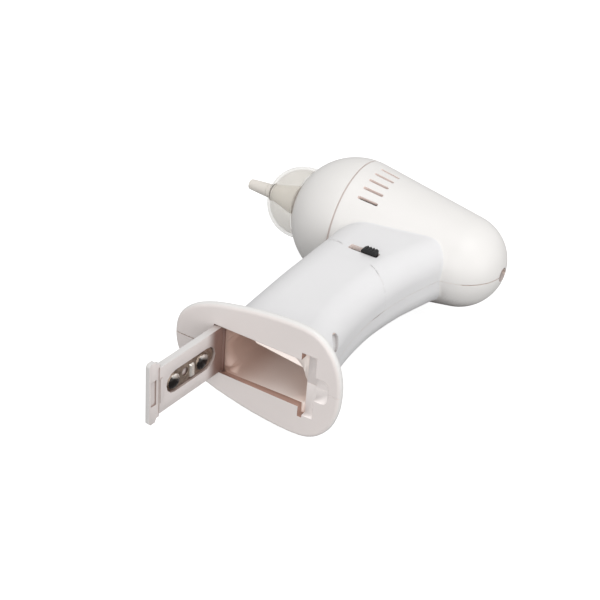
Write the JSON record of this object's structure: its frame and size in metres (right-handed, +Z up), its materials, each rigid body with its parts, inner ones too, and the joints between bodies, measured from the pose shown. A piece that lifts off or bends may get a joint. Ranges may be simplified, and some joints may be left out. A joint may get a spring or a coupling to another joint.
{
  "type": "vacuum ear cleaner",
  "caption": "Pistol-shaped handheld vacuum ear cleaner with soft tip, splash guard, slide switch, air vents and a hinged battery door, shown open.",
  "frame": {"origin": "Middle of the bounding box in X and Y, on the surface the object lies on. Everything is in its rest pose: battery door open, switch at the rear of its slot, splash guard and ear tip fitted.", "axes": "+Z is up, toward the cleaner's left side, because it lies on its right side. The head's axis runs along X with the ear tip at -X and the tail at +X. The handle runs toward -Y and the opened door points further along -Y."},
  "size_m": [0.111, 0.1606, 0.0499],
  "materials": {
    "white_body": "smooth moulded white",
    "white_head": "smooth moulded warm white",
    "milky_guard": "milky translucent, slightly yellow",
    "soft_tip": "soft translucent silicone",
    "foam": "open-cell foam",
    "inner_plastic": "plain inner moulding",
    "black_plastic": "black moulded plastic",
    "brown_plastic": "dark brown phenolic",
    "steel": "zinc-plated steel",
    "copper": "enamelled copper and laminated iron",
    "brass_tag": "plain brass",
    "nickel": "bright nickel plate",
    "red_wire": "vinyl insulation",
    "black_wire": "vinyl insulation"
  },
  "bodies": {
    "housing": {"left_shell": "white_body", "right_shell": "white_body", "nose_dome": "white_head", "filter_pad": "foam", "filter_ring": "inner_plastic", "fan_inlet_plate": "inner_plastic", "motor_can": "steel", "motor_end_cap": "black_plastic", "motor_terminal_plus": "brass_tag", "motor_terminal_minus": "brass_tag", "switch_body": "brown_plastic", "switch_pin_1": "brass_tag", "switch_pin_2": "brass_tag", "switch_pin_3": "brass_tag", "contact_bulkhead": "inner_plastic", "bay_contact_minus": "nickel", "bay_contact_plus": "nickel", "bay_spring": "nickel", "shell_screw_1": "steel", "shell_screw_2": "steel", "shell_screw_3": "steel", "shell_screw_4": "steel", "wire_motor_red": "red_wire", "wire_motor_black": "black_wire", "wire_bay_red": "red_wire"},
    "fan": {"impeller": "inner_plastic", "motor_shaft": "steel", "motor_rotor": "copper"},
    "guard": {"splash_guard": "milky_guard"},
    "tip": {"ear_tip": "soft_tip"},
    "power_slider": {"switch_knob": "black_plastic"},
    "door": {"battery_door": "white_body", "door_contact": "nickel"}
  },
  "joints": [
    {"name": "door_hinge", "type": "hinge", "parent": "housing", "child": "door", "pos_m": [-0.00223, -0.04411, 0.02497], "axis": [0, 0, 1], "range_deg": [-8, 95.75]},
    {"name": "power_slide", "type": "slide", "parent": "housing", "child": "power_slider", "axis": [-1, 0, 0], "range_m": [0, 0.0042]},
    {"name": "fan_spin", "type": "hinge", "parent": "housing", "child": "fan", "pos_m": [0, 0.05529, 0.02497], "axis": [1, 0, 0], "continuous": true},
    {"name": "guard_pull", "type": "slide", "parent": "housing", "child": "guard", "axis": [-1, 0, 0], "range_m": [0, 0.02]},
    {"name": "tip_pull", "type": "slide", "parent": "guard", "child": "tip", "axis": [-1, 0, 0], "range_m": [0, 0.012]}
  ]
}
